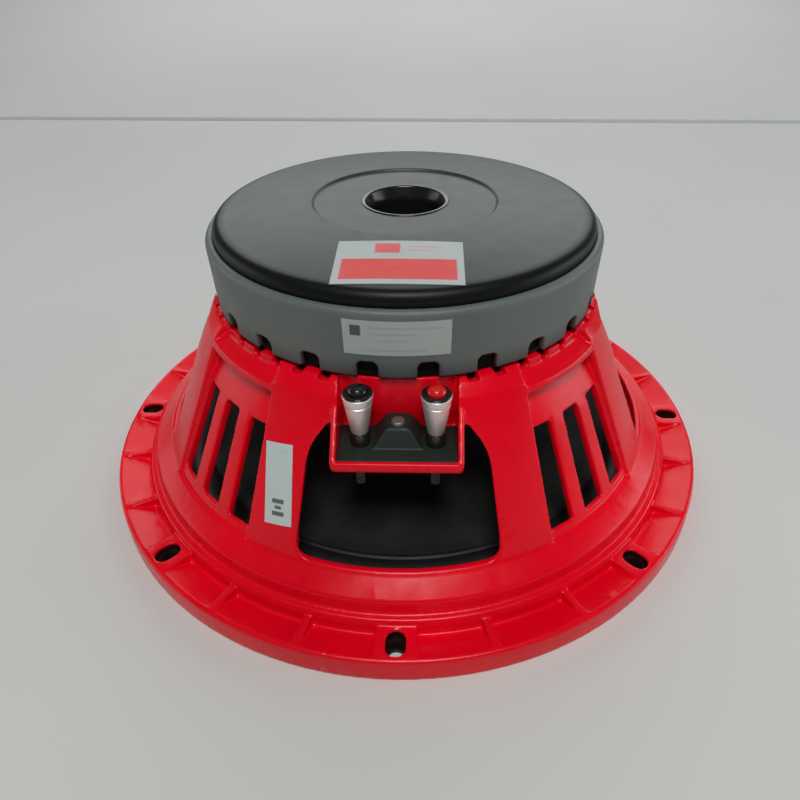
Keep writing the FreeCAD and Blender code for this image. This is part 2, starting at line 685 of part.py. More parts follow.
def post(x):
    """Tapered metal terminal: threaded stem below, spring well above, wire hole across it."""
    low, high = POST_Z
    bore_r = BUTTON_R + RUNNING_GAP
    well_r = PLUNGER_R + RUNNING_GAP
    bore_z = BUTTON_Z[0] - BUTTON_TRAVEL - 0.3
    body = spin([
        (0, STEM_END_Z), (STEM_R, STEM_END_Z, 0.4), (STEM_R, low), (POST_R[0], low, 0.5),
        (POST_R[1], high, 0.4), (COLLAR_R, high), (COLLAR_R, COLLAR_Z[0]), (bore_r, COLLAR_Z[0]),
        (bore_r, bore_z), (well_r, bore_z), (well_r, WELL_Z), (0, WELL_Z),
    ])
    wire_hole = Part.makeCylinder(WIRE_HOLE_R, 20, Vector(-10, 0, WIRE_HOLE_Z), Vector(1, 0, 0))
    return placed(body.cut(wire_hole), x)


def collar(x):
    """Plastic ring let into the post's mouth and over its rim, which guides the push button."""
    low, high = COLLAR_Z
    bore_r = BUTTON_R + RUNNING_GAP
    rim_z = POST_Z[1]
    rim_r = POST_R[1] - 0.3
    return placed(spin([
        (bore_r, low), (COLLAR_R, low), (COLLAR_R, rim_z), (rim_r, rim_z), (rim_r, high, 0.5),
        (bore_r, high, 0.3),
    ]), x)


def plunger(x):
    """Metal pin under the button; its cross hole lines up with the post's when pressed."""
    pin = rod(PLUNGER_R, PLUNGER_Z, BUTTON_Z[0])
    start = Vector(-5, 0, WIRE_HOLE_Z + BUTTON_TRAVEL)
    return placed(pin.cut(Part.makeCylinder(WIRE_HOLE_R, 10, start, Vector(1, 0, 0))), x)


def push_button(x):
    low, high = BUTTON_Z
    return placed(spin([(0, low), (BUTTON_R, low, 0.2), (BUTTON_R, high - 0.2, 1.7), (0, high)]), x)


def button_spring(x):
    """Compression spring in the post's well, with an eight-sided wire."""
    coil_r = PLUNGER_R - SPRING_WIRE_R - 0.15
    low = WELL_Z + SPRING_WIRE_R + RUNNING_GAP
    high = PLUNGER_Z - SPRING_WIRE_R - RUNNING_GAP
    helix = Part.makeHelix((high - low) / SPRING_TURNS, high - low, coil_r)
    corners = []
    for k in range(8):
        a = (k + 0.5) * math.pi / 4
        corners.append(Vector(coil_r + SPRING_WIRE_R * math.cos(a), 0, SPRING_WIRE_R * math.sin(a)))
    section = Part.makePolygon(corners + corners[:1])
    coil = Part.Wire(helix.Edges).makePipeShell([section], True, True)
    coil.translate(Vector(0, 0, low))
    return placed(coil, x)


def lug(x):
    """Solder lug: a ring on the stem, an arm to the front and a tab turned down from it."""
    low = LUG_Z - LUG_T
    near, far = TAB_Y[1], TAB_Y[0]
    half = TAB_HALF_W
    arm = upright([(-half, far), (half, far), (half, -2.0), (-half, -2.0)], low, LUG_Z)
    tab = outline([
        (-half, LUG_TIP_Z, 1.2), (half, LUG_TIP_Z, 1.2), (half, LUG_Z), (-half, LUG_Z),
    ], lambda u, z: Vector(u, far, z)).extrude(Vector(0, near - far, 0))
    ring_and_arm = rod(3.7, low, LUG_Z).fuse([arm, tab])
    return placed(ring_and_arm.cut(rod(STEM_R + RUNNING_GAP, low - 1, LUG_Z + 1)), x)


def terminal_nuts():
    """Hexagon nuts that clamp the posts and lugs to the tray."""
    high = LUG_Z - LUG_T
    corner = NUT_WIDTH / math.sqrt(3)
    turns = [math.radians(a) for a in range(0, 360, 60)]
    corners = [(corner * math.cos(a), corner * math.sin(a)) for a in turns]
    nut = upright(corners, high - NUT_T, high).cut(rod(STEM_R + RUNNING_GAP, high - 5, high + 1))
    return Part.makeCompound([placed(nut.copy(), x) for x in (-POST_X, POST_X)])


def tube(points, r):
    """A round lead along straight runs joined by arcs as large as the runs allow."""
    points = [Vector(*p) for p in points]
    edges = []
    at = points[0]
    for k in range(1, len(points) - 1):
        back = points[k - 1] - points[k]
        ahead = points[k + 1] - points[k]
        reach = 0.45 * min(back.Length, ahead.Length)
        half = back.getAngle(ahead) / 2
        bend = reach * math.tan(half)
        start = points[k] + back.normalize() * reach
        end = points[k] + ahead.normalize() * reach
        toward = (start + end) * 0.5 - points[k]
        middle = points[k] + toward.normalize() * (bend / math.sin(half) - bend)
        edges.append(Part.LineSegment(at, start).toShape())
        edges.append(Part.Arc(start, middle, end).toShape())
        print("lead bend radius", round(bend, 1))
        at = end
    edges.append(Part.LineSegment(at, points[-1]).toShape())
    path = Part.Wire(edges)
    section = Part.Wire(Part.makeCircle(r, points[0], points[1] - points[0]))
    swept = path.makePipeShell([section], True, False)
    fill = swept.Volume / (math.pi * r * r * path.Length)
    print("lead length", round(path.Length, 1), "volume ratio", round(fill, 4))
    return swept


def tinsel_lead(side):
    """Flexible lead from a lug's tab, under the tray, to its eyelet on the cone."""
    x = side * LEAD_X[1]
    seat = eyelet_seat(x)
    axis = eyelet_axis(x)
    return tube([
        (side * 15.2, POST_Y + TAB_Y[1], 60.6), (side * 15.7, -97.5, 60.2), (side * 15.1, -85.5, 57.6),
        (side * 14.1, -71.5, 56.9), (side * 13.1, -59.5, 57.4), tuple(seat + axis * 5.5),
        tuple(seat + axis * 0.65),
    ], LEAD_R)


# --- labels ------------------------------------------------------------------------------

def rear_label():
    """Printed sheet on the coned rear face, between its edge and the dish."""
    slope = (BACK_TOP_Z - BACK_EDGE_Z - 0.4) / (BACK_PLATE_R - BACK_STEP_R)
    r0, r1 = 46.0, 84.5
    z0, z1 = [BACK_TOP_Z - (r - BACK_STEP_R) * slope for r in (r0, r1)]
    layer = spin([(r0, z0), (r1, z1), (r1, z1 + LABEL_T), (r0, z0 + LABEL_T)])
    y0, y1 = REAR_LABEL_Y
    half = REAR_LABEL_HALF_W
    return layer.common(Part.makeBox(2 * half, y1 - y0, 20, Vector(-half, y0, BACK_PLATE_Z)))


def boot_label():
    """Printed sheet on the boot's side, over the terminals."""
    low, high = BOOT_Z
    lean = (BOOT_R_HIGH - BOOT_R_LOW) / (high - low)
    z0, z1 = BOOT_LABEL_Z
    r0, r1 = [BOOT_R_LOW + (z - low) * lean for z in (z0, z1)]
    layer = spin([(r0, z0), (r0 + LABEL_T, z0), (r1 + LABEL_T, z1), (r1, z1)])
    half = BOOT_LABEL_HALF_W
    return layer.common(Part.makeBox(2 * half, 60, z1 - z0 + 2, Vector(-half, -100, z0 - 1)))


def arm_label():
    """Narrow sheet stuck a little askew down the arm to the left of the terminals."""
    half_w, half_h = ARM_LABEL_HALF_SIZES
    low = ARM_LABEL_Z - half_h - 2
    high = ARM_LABEL_Z + half_h + 2
    layer = spin([
        (arm_r(low), low), (arm_r(low) + LABEL_T, low), (arm_r(high) + LABEL_T, high), (arm_r(high), high),
    ])
    tilt = math.radians(ARM_LABEL_TILT)
    corners = []
    for u, v in ((-half_w, -half_h), (half_w, -half_h), (half_w, half_h), (-half_w, half_h)):
        turned_u = u * math.cos(tilt) - v * math.sin(tilt)
        corners.append((turned_u, ARM_LABEL_Z + u * math.sin(tilt) + v * math.cos(tilt)))
    return layer.common(outward(corners, ARM_LABEL_ANGLE, 80, 150))


# --- write the parts ---------------------------------------------------------------------

whole_casting = casting()
PIECES = {
    "basket_flange": basket_flange(whole_casting),
    "basket_arms": basket_arms(whole_casting),
    "basket_seat": basket_seat(whole_casting),
    "front_gasket": front_gasket(),
    "top_plate": top_plate(),
    "motor_bolts": Part.makeCompound(around(motor_bolt(), BOLT_COUNT)),
    "magnet_front": magnet(0),
    "magnet_rear": magnet(1),
    "yoke": yoke(),
    "vent_flare": vent_flare(),
    "shorting_ring": shorting_ring(),
    "magnet_boot": magnet_boot(),
    "surround": surround(),
    "cone": cone(),
    "dust_cap": dust_cap(),
    "coil_former": coil_former(),
    "voice_coil": voice_coil(),
    "spider": spider(),
    "lead_eyelets": lead_eyelets(),
    "terminal_board": terminal_board(),
    "board_rivet": board_rivet(),
    "post_insulators": insulators(),
    "terminal_nuts": terminal_nuts(),
    "rear_label": rear_label(),
    "boot_label": boot_label(),
    "arm_label": arm_label(),
}
for hand, colour, side in (("left", "black", -1), ("right", "red", 1)):
    PIECES["post_" + hand] = post(side * POST_X)
    PIECES["collar_" + hand] = collar(side * POST_X)
    PIECES["plunger_" + hand] = plunger(side * POST_X)
    PIECES["push_button_" + colour] = push_button(side * POST_X)
    PIECES["button_spring_" + hand] = button_spring(side * POST_X)
    PIECES["solder_lug_" + hand] = lug(side * POST_X)
    PIECES["tinsel_lead_" + hand] = tinsel_lead(side)

os.makedirs("parts", exist_ok=True)
for name, shape in PIECES.items():
    print(name, "valid", shape.isValid(), "solids", len(shape.Solids), "cm3", round(shape.Volume / 1000, 2))
    shape.exportStep("parts/" + name + ".step")
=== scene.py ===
import json
import math

import bmesh
import bpy
from mathutils import Matrix, Vector
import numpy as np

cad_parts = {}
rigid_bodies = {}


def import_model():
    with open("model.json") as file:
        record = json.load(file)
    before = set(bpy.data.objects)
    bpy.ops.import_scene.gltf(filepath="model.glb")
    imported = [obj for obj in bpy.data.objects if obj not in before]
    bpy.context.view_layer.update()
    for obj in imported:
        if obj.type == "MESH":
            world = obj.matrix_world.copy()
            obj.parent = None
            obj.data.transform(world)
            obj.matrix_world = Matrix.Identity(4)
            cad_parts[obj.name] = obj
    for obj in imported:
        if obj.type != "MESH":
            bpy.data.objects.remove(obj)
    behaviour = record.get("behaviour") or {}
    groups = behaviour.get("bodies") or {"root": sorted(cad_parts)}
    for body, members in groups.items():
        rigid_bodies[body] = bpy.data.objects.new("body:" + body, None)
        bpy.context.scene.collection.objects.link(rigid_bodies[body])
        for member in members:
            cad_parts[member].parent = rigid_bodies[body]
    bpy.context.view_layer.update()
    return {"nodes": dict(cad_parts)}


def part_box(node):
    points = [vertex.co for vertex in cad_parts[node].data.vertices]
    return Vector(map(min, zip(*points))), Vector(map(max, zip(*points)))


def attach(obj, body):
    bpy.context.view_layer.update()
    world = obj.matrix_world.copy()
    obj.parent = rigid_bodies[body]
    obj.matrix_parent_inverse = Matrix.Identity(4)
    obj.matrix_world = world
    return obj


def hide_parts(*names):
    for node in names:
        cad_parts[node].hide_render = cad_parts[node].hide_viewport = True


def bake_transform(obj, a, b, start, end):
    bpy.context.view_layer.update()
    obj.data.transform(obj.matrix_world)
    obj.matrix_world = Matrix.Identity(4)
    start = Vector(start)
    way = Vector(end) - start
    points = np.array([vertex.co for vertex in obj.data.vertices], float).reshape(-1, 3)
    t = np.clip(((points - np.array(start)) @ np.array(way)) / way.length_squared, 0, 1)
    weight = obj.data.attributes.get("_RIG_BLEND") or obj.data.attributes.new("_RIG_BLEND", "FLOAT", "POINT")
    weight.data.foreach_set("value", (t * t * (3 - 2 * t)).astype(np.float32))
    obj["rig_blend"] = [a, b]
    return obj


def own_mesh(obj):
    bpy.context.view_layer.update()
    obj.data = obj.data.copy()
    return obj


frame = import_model()

# A twelve-inch subwoofer driver standing on its front flange. Everything is in metres, in the
# CAD's frame: +Z is the driver's axis, from the floor up to the magnet, and the terminals face -Y.

MM = 0.001
FRONT = math.radians(-90)
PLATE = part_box("yoke")
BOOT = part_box("magnet_boot")


# --- camera, floor and light -------------------------------------------------------------

def make_camera():
    """Viewpoint just in front of the driver, looking down at it."""
    data = bpy.data.cameras.new("camera")
    data.sensor_width = 36
    data.lens = 29.98
    data.shift_x = -0.0256
    data.shift_y = -0.0429
    camera = bpy.data.objects.new("camera", data)
    camera.location = (0.0127, -0.3053, 0.2511)
    camera.rotation_euler = (math.radians(90 - 34.18), 0, math.radians(1.03))
    bpy.context.scene.collection.objects.link(camera)
    bpy.context.scene.camera = camera


def plane(name, corners, material):
    mesh = bpy.data.meshes.new(name)
    mesh.from_pydata(corners, [], [(0, 1, 2, 3)])
    mesh.materials.append(material)
    made = bpy.data.objects.new(name, mesh)
    bpy.context.scene.collection.objects.link(made)


def make_table(material):
    """A pale table, and behind its back edge a second board that starts a little higher and slopes up."""
    back = 0.70
    low = -0.0001
    half = 5.0
    plane("table", [(-half, -half, low), (half, -half, low), (half, back, low), (-half, back, low)], material)
    step = 0.004
    plane("riser", [(-half, back, low), (half, back, low), (half, back, step), (-half, back, step)], material)
    far = 2.0
    top = 0.2
    plane("board", [(-half, back, step), (half, back, step), (half, far, top), (-half, far, top)], material)


def make_light(name, place, aim, size, power, colour=(1, 1, 1)):
    data = bpy.data.lights.new(name, "AREA")
    data.shape = "RECTANGLE"
    data.size, data.size_y = size
    data.energy = power
    data.color = colour
    light = bpy.data.objects.new(name, data)
    light.location = place
    light.rotation_euler = (Vector(aim) - Vector(place)).to_track_quat("-Z", "Y").to_euler()
    bpy.context.scene.collection.objects.link(light)


def make_lights():
    """A soft studio: a broad panel behind, a key high in front and a low panel each side."""
    world = bpy.data.worlds.new("studio")
    bpy.context.scene.world = world
    world.use_nodes = True
    background = world.node_tree.nodes["Background"]
    background.inputs["Color"].default_value = (0.95, 0.98, 1.0, 1)
    background.inputs["Strength"].default_value = 0.07
    make_light("back_panel", (0.0, 1.5, 0.92), (0, 0, 0.1), (2.2, 0.85), 13, (0.99, 1.0, 1.0))
    make_light("front_key", (0.05, -0.75, 1.45), (0, 0, 0.05), (0.6, 0.4), 15, (1.0, 0.99, 0.98))
    make_light("left_panel", (-1.3, 0.15, 0.28), (0, 0, 0.08), (0.9, 0.5), 1.9)
    make_light("right_panel", (1.3, 0.1, 0.3), (0, 0, 0.08), (0.9, 0.5), 4.0, (0.90, 0.96, 1.0))


# --- materials ---------------------------------------------------------------------------

class Paint:
    """A procedural material: one Principled shader, with helpers that add nodes to it."""

    def __init__(self, name, colour, roughness, metallic=0.0, **sockets):
        self.material = bpy.data.materials.new(name)
        self.material.use_nodes = True
        self.tree = self.material.node_tree
        self.shader = self.tree.nodes["Principled BSDF"]
        self.colour = colour
        self.set("Base Color", (*colour, 1))
        self.set("Roughness", roughness)
        self.set("Metallic", metallic)
        for socket, value in sockets.items():
            self.set(socket.replace("_", " "), value)
        self.place = self.node("ShaderNodeTexCoord").outputs["Object"]

    def set(self, socket, value):
        self.shader.inputs[socket].default_value = value

    def node(self, kind, **settings):
        made = self.tree.nodes.new(kind)
        for key, value in settings.items():
            setattr(made, key, value)
        return made

    def link(self, source, target):
        self.tree.links.new(source, target)

    def grain(self, scale, detail=3.0, stretch=(1, 1, 1)):
        """Noise from 0 to 1, scale per metre."""
        mapping = self.node("ShaderNodeMapping")
        mapping.inputs["Scale"].default_value = stretch
        self.link(self.place, mapping.inputs["Vector"])
        texture = self.node("ShaderNodeTexNoise")
        texture.inputs["Scale"].default_value = scale
        texture.inputs["Detail"].default_value = detail
        self.link(mapping.outputs["Vector"], texture.inputs["Vector"])
        return texture.outputs["Fac"]

    def parts(self, vector):
        """The X, Y and Z of a vector, by name."""
        split = self.node("ShaderNodeSeparateXYZ")
        self.link(vector, split.inputs["Vector"])
        return split.outputs

    def remap(self, value, low, high, start=0.3, end=0.7):
        """The value's run from start to end, stretched to run from low to high and held there."""
        ramp = self.node("ShaderNodeMapRange")
        ramp.inputs["From Min"].default_value = start
        ramp.inputs["From Max"].default_value = end
        ramp.inputs["To Min"].default_value = low
        ramp.inputs["To Max"].default_value = high
        self.link(value, ramp.inputs["Value"])
        return ramp.outputs["Result"]

    def math(self, operation, first, second=None):
        made = self.node("ShaderNodeMath", operation=operation)
        for k, value in enumerate((first, second)):
            if isinstance(value, (int, float)):
                made.inputs[k].default_value = value
            elif value is not None:
                self.link(value, made.inputs[k])
        return made.outputs["Value"]

    def mix(self, amount, first, second):
        """A colour between two, either of which may be a socket."""
        made = self.node("ShaderNodeMix", data_type="RGBA")
        self.link(amount, made.inputs["Factor"])
        for socket, value in ((made.inputs[6], first), (made.inputs[7], second)):
            if isinstance(value, tuple):
                socket.default_value = (*value, 1)
            else:
                self.link(value, socket)
        return made.outputs[2]

    def vary_colour(self, value, low, high, between=(0.3, 0.7)):
        """The base colour runs from low to high times itself as value goes between two levels."""
        dark = tuple(c * low for c in self.colour)
        light = tuple(c * high for c in self.colour)
        self.link(self.mix(self.remap(value, 0, 1, *between), dark, light), self.shader.inputs["Base Color"])

    def vary_roughness(self, value, low, high):
        self.link(self.remap(value, low, high), self.shader.inputs["Roughness"])

    def bump(self, value, height, distance=0.0003):
        """Relief from value; height is its strength and distance its depth in metres."""
        made = self.node("ShaderNodeBump")
        made.inputs["Strength"].default_value = height
        made.inputs["Distance"].default_value = distance
        self.link(value, made.inputs["Height"])
        if self.shader.inputs["Normal"].is_linked:
            self.link(self.shader.inputs["Normal"].links[0].from_socket, made.inputs["Normal"])
        self.link(made.outputs["Normal"], self.shader.inputs["Normal"])


def pale_board():
    """Matt off-white board, for the table and what is behind it."""
    paint = Paint("pale_board", (0.64, 0.655, 0.635), 0.8, Specular_IOR_Level=0.3)
    paint.vary_colour(paint.grain(2.5), 0.97, 1.03)
    return paint.material


def red_powder_coat():
    """Satin-gloss powder coat on a casting: orange peel, soft mottling, faint dust."""
    paint = Paint("red_powder_coat", (0.84, 0.0, 0.013), 0.30, Specular_IOR_Level=0.27)
    paint.vary_colour(paint.grain(14, 4), 0.88, 1.08)
    paint.vary_roughness(paint.grain(60, 4), 0.23, 0.34)
    paint.bump(paint.grain(520, 2), 0.16, 0.00012)
    paint.bump(paint.grain(45, 3), 0.1, 0.0004)
    return paint.material


def hole_shade():
    """Painted shade: a near-black colour down the screw holes, standing for the shade inside them."""
    paint = Paint("hole_shade", (0.016, 0.004, 0.004), 0.8, Specular_IOR_Level=0.1)
    paint.vary_colour(paint.grain(300, 3), 0.7, 1.3)
    return paint.material


ROLL_OVER_SHADE_R = (0.0835, 0.0868)   # where the rear plate turns down to its side, painted nearly black as shade


def grey_enamel_edge_shade():
    """Satin dark grey paint on a turned plate, with painted shade, nearly black, where it rolls over at the
    edge.
    """
    paint = Paint("grey_enamel_edge_shade", (0.040, 0.048, 0.046), 0.40, Specular_IOR_Level=0.5)
    place = paint.parts(paint.place)
    squares = [paint.math("MULTIPLY", place[axis], place[axis]) for axis in ("X", "Y")]
    radius = paint.math("SQRT", paint.math("ADD", *squares))
    # Painted shade: across the rolled edge the colour runs to nearly black and the specular drops, for the
    # shade where the edge turns down towards the boot.
    edge = paint.remap(radius, 0, 1, *ROLL_OVER_SHADE_R)
    mottle = paint.remap(paint.grain(9, 5), 0, 1)
    face = paint.mix(mottle, (0.030, 0.043, 0.040), (0.034, 0.048, 0.045))
    paint.link(paint.mix(edge, face, (0.004, 0.006, 0.005)), paint.shader.inputs["Base Color"])
    paint.link(paint.remap(edge, 0.42, 0.2, 0, 1), paint.shader.inputs["Specular IOR Level"])
    paint.vary_roughness(paint.grain(130, 4), 0.40, 0.45)
    paint.bump(paint.grain(700, 2), 0.1, 0.0001)
    return paint.material


HEM_SHADE_Z = (0.1005, 0.1085)         # painted shade: the boot darkens towards its notched edge


def boot_rubber():
    """Grey rubber with a soft mottle, and painted shade darkening it towards its lower edge."""
    paint = Paint("boot_rubber", (0.122, 0.150, 0.140), 0.46)
    # Painted shade: the colour falls to 0.45 of itself towards the notched lower edge, where the boot tucks
    # in.
    hem_shade = paint.remap(paint.parts(paint.place)["Z"], 0.45, 1, *HEM_SHADE_Z)
    mottle = paint.remap(paint.grain(22, 5), 0.88, 1.1)
    paint.vary_colour(paint.math("MULTIPLY", hem_shade, mottle), 0.0, 1.0, (0, 1))
    paint.vary_roughness(paint.grain(90, 5), 0.44, 0.56)
    paint.bump(paint.grain(1500, 2), 0.12, 0.0001)
    return paint.material


def soft_rubber(name, level, roughness):
    paint = Paint(name, (level, level, level * 1.03), roughness)
    paint.vary_colour(paint.grain(30, 5), 0.85, 1.2)
    paint.vary_roughness(paint.grain(120, 4), roughness - 0.05, roughness + 0.06)
    paint.bump(paint.grain(1800, 2), 0.15, 0.0001)
    return paint.material


def gloss_plastic(name, colour):
    paint = Paint(name, colour, 0.18, Coat_Weight=0.3, Coat_Roughness=0.08)
    paint.vary_roughness(paint.grain(300, 3), 0.14, 0.24)
    paint.bump(paint.grain(260, 2), 0.04, 0.0001)
    return paint.material


def moulded_plastic():
    paint = Paint("moulded_plastic", (0.014, 0.022, 0.018), 0.55, Specular_IOR_Level=0.3)
    paint.vary_colour(paint.grain(60, 4), 0.85, 1.2)
    paint.vary_roughness(paint.grain(400, 3), 0.42, 0.58)
    paint.bump(paint.grain(2600, 2), 0.2, 0.0001)
    return paint.material


def plated_metal(name, colour, roughness):
    """Satin bright plating with very faint turned rings."""
    paint = Paint(name, colour, roughness, 0.75)
    paint.vary_roughness(paint.grain(500, 3), roughness * 0.85, roughness * 1.2)
    paint.bump(paint.grain(300, 2, (0.15, 0.15, 6)), 0.02, 0.0001)
    return paint.material


def sintered_ferrite():
    paint = Paint("sintered_ferrite", (0.010, 0.010, 0.011), 0.85, Specular_IOR_Level=0.15)
    paint.vary_colour(paint.grain(200, 6), 0.7, 1.4)
    paint.bump(paint.grain(900, 4), 0.3, 0.0002)
    return paint.material


def pressed_paper(name, level):
    """Charcoal pulp: short fibres lying every way, and a soft mottle."""
    paint = Paint(name, (level * 0.9, level * 1.08, level), 0.82, Specular_IOR_Level=0.2, Sheen_Weight=0.06)
    paint.vary_colour(paint.grain(70, 6), 0.7, 1.5)
    paint.bump(paint.grain(380, 5, (1, 3.5, 1)), 0.3, 0.0003)
    paint.bump(paint.grain(380, 5, (3.5, 1, 1)), 0.3, 0.0003)
    return paint.material


def polar_weave(paint, around, across, height):
    """Over-and-under threads from a turned piece's UVs: around is the threads per turn."""
    uv = paint.parts(paint.node("ShaderNodeUVMap", uv_map="turned").outputs["UV"])
    turn = paint.math("SINE", paint.math("MULTIPLY", uv["X"], around * math.pi))
    run = paint.math("SINE", paint.math("MULTIPLY", uv["Y"], across * math.pi))
    weave = paint.remap(paint.math("MULTIPLY", turn, run), 0, 1, -1, 1)
    paint.bump(weave, height, 0.0003)
    return weave


def spider_cloth():
    """Resin-stiffened woven cloth, dark brown."""
    paint = Paint("spider_cloth", (0.040, 0.034, 0.028), 0.72, Sheen_Weight=0.2)
    threads = polar_weave(paint, 420, 60, 0.7)
    paint.vary_colour(threads, 0.6, 1.5)
    return paint.material


def braided_copper():
    paint = Paint("braided_copper", (0.50, 0.26, 0.13), 0.4, 0.8)
    wave = paint.node("ShaderNodeTexWave", wave_type="BANDS", bands_direction="DIAGONAL")
    wave.inputs["Scale"].default_value = 900
    wave.inputs["Distortion"].default_value = 0.6
    paint.link(paint.place, wave.inputs["Vector"])
    paint.vary_colour(wave.outputs["Fac"], 0.5, 1.3)
    paint.bump(wave.outputs["Fac"], 0.5, 0.0002)
    return paint.material


WIRE_PITCH = 0.0004
WAVE_PHASE = 20            # radians that Blender's wave texture turns through per unit of its scale


def copper_winding():
    """Enamelled wire wound in even turns."""
    paint = Paint("copper_winding", (0.55, 0.20, 0.08), 0.3, 0.9)
    wave = paint.node("ShaderNodeTexWave", wave_type="BANDS", bands_direction="Z")
    wave.inputs["Scale"].default_value = 2 * math.pi / (WAVE_PHASE * WIRE_PITCH)
    paint.link(paint.place, wave.inputs["Vector"])
    paint.vary_colour(wave.outputs["Fac"], 0.5, 1.2)
    paint.bump(wave.outputs["Fac"], 0.5, 0.0002)
    return paint.material


def amber_film():
    paint = Paint("amber_film", (0.22, 0.10, 0.025), 0.3)
    paint.vary_colour(paint.grain(80, 3), 0.85, 1.15)
    paint.vary_roughness(paint.grain(200, 3), 0.25, 0.38)
    return paint.material


def zinc_steel():
    paint = Paint("zinc_steel", (0.42, 0.42, 0.40), 0.35, 1.0)
    paint.vary_colour(paint.grain(60, 4), 0.85, 1.1)
    paint.vary_roughness(paint.grain(250, 4), 0.28, 0.45)
    return paint.material


def polished_black():
    paint = Paint("polished_black", (0.010, 0.010, 0.011), 0.26, Coat_Weight=0.15, Coat_Roughness=0.15)
    paint.vary_roughness(paint.grain(120, 3), 0.22, 0.32)
    return paint.material


def bare_aluminium():
    paint = Paint("bare_aluminium", (0.72, 0.72, 0.73), 0.3, 1.0)
    paint.vary_roughness(paint.grain(300, 4, (0.2, 0.2, 5)), 0.22, 0.4)
    return paint.material


def tinned_brass():
    paint = Paint("tinned_brass", (0.045, 0.05, 0.047), 0.5, 0.6)
    paint.vary_colour(paint.grain(400, 4), 0.75, 1.1)
    paint.vary_roughness(paint.grain(500, 4), 0.3, 0.5)
    return paint.material


def dull_rivet():
    paint = Paint("dull_rivet", (0.20, 0.22, 0.21), 0.5, 0.7)
    paint.vary_roughness(paint.grain(600, 3), 0.42, 0.6)
    return paint.material


def black_steel():
    paint = Paint("black_steel", (0.02, 0.022, 0.022), 0.5, 0.5)
    paint.vary_roughness(paint.grain(400, 4), 0.38, 0.55)
    return paint.material


class Print:
    """Blocks of flat ink on a paper label, placed by the label's own UVs from 0 to 1."""

    def __init__(self, name, paper):
        self.paint = Paint(name, paper, 0.55)
        uv = self.paint.parts(self.paint.node("ShaderNodeUVMap", uv_map="sheet").outputs["UV"])
        self.u = uv["X"]
        self.v = uv["Y"]
        self.ink_so_far = paper

    def inside(self, value, middle, half):
        """1 where value is within half of middle, with an edge a little soft."""
        off = self.paint.math("ABSOLUTE", self.paint.math("SUBTRACT", value, middle))
        return self.paint.remap(off, 1, 0, half - 0.006, half + 0.006)

    def block(self, low, high, ink, strength=1.0):
        """Ink over the rectangle between two corners (u, v)."""
        across = self.inside(self.u, (low[0] + high[0]) / 2, (high[0] - low[0]) / 2)
        up = self.inside(self.v, (low[1] + high[1]) / 2, (high[1] - low[1]) / 2)
        amount = self.paint.math("MULTIPLY", self.paint.math("MULTIPLY", across, up), strength)
        self.ink_so_far = self.paint.mix(amount, self.ink_so_far, ink)

    def done(self):
        """The material, with the ink a little faded."""
        mottle = self.paint.remap(self.paint.grain(120, 4), 0.0, 0.06)
        faded = self.paint.mix(mottle, self.ink_so_far, (0.3, 0.3, 0.3))
        self.paint.link(faded, self.paint.shader.inputs["Base Color"])
        self.paint.vary_roughness(self.paint.grain(160, 3), 0.48, 0.62)
        return self.paint.material


RED_INK = (0.70, 0.045, 0.04)
GREY_INK = (0.33, 0.34, 0.33)
DARK_INK = (0.03, 0.03, 0.03)


def rear_print():
    """Pale grey sheet with a red block, a red bar over it and faint rules beside the bar."""
    sheet = Print("rear_print", (0.43, 0.48, 0.48))
    sheet.block((0.055, 0.10), (0.945, 0.56), RED_INK)
    sheet.block((0.30, 0.70), (0.50, 0.93), RED_INK, 0.9)
    for k, right in enumerate((0.80, 0.74)):
        sheet.block((0.56, 0.84 - 0.09 * k), (right, 0.87 - 0.09 * k), RED_INK, 0.35)
    return sheet.done()


def boot_print():
    """Off-white sheet with a dark square and grey rules of several lengths."""
    sheet = Print("boot_print", (0.40, 0.46, 0.43))
    sheet.block((0.07, 0.56), (0.17, 0.86), DARK_INK, 0.9)
    rules = ((0.24, 0.94, 0.80), (0.24, 0.68, 0.62), (0.34, 0.60, 0.44), (0.22, 0.78, 0.15))
    for left, right, level in rules:
        sheet.block((left, level - 0.03), (right, level + 0.03), GREY_INK, 0.6)
    return sheet.done()


def arm_print():
    """White sheet with one dark stamp at its foot."""
    sheet = Print("arm_print", (0.56, 0.67, 0.65))
    sheet.block((0.28, 0.11), (0.72, 0.165), DARK_INK, 0.85)
    sheet.block((0.38, 0.195), (0.62, 0.235), DARK_INK, 0.85)
    sheet.block((0.28, 0.265), (0.72, 0.32), DARK_INK, 0.85)
    sheet.block((0.55, 0.90), (0.75, 0.92), GREY_INK, 0.25)
    return sheet.done()


# --- making meshes -----------------------------------------------------------------------

def rounded(corners, steps=5):
    """Points of an outline in metres, from corners (u, v) or (u, v, radius) in millimetres."""
    points = [Vector(c[:2]) for c in corners]
    radii = [c[2] if len(c) > 2 else 0 for c in corners]
    made = []
    for k, corner in enumerate(points):
        if not radii[k]:
            made.append(corner * MM)
            continue
        back = (points[k - 1] - corner).normalized()
        ahead = (points[(k + 1) % len(points)] - corner).normalized()
        half = back.angle(ahead) / 2
        middle = corner + (back + ahead).normalized() * radii[k] / math.sin(half)
        first = corner + back * radii[k] / math.tan(half) - middle
        last = corner + ahead * radii[k] / math.tan(half) - middle
        turn = first.angle_signed(last)
        for n in range(steps + 1):
            made.append((middle + Matrix.Rotation(-turn * n / steps, 2) @ first) * MM)
    return made


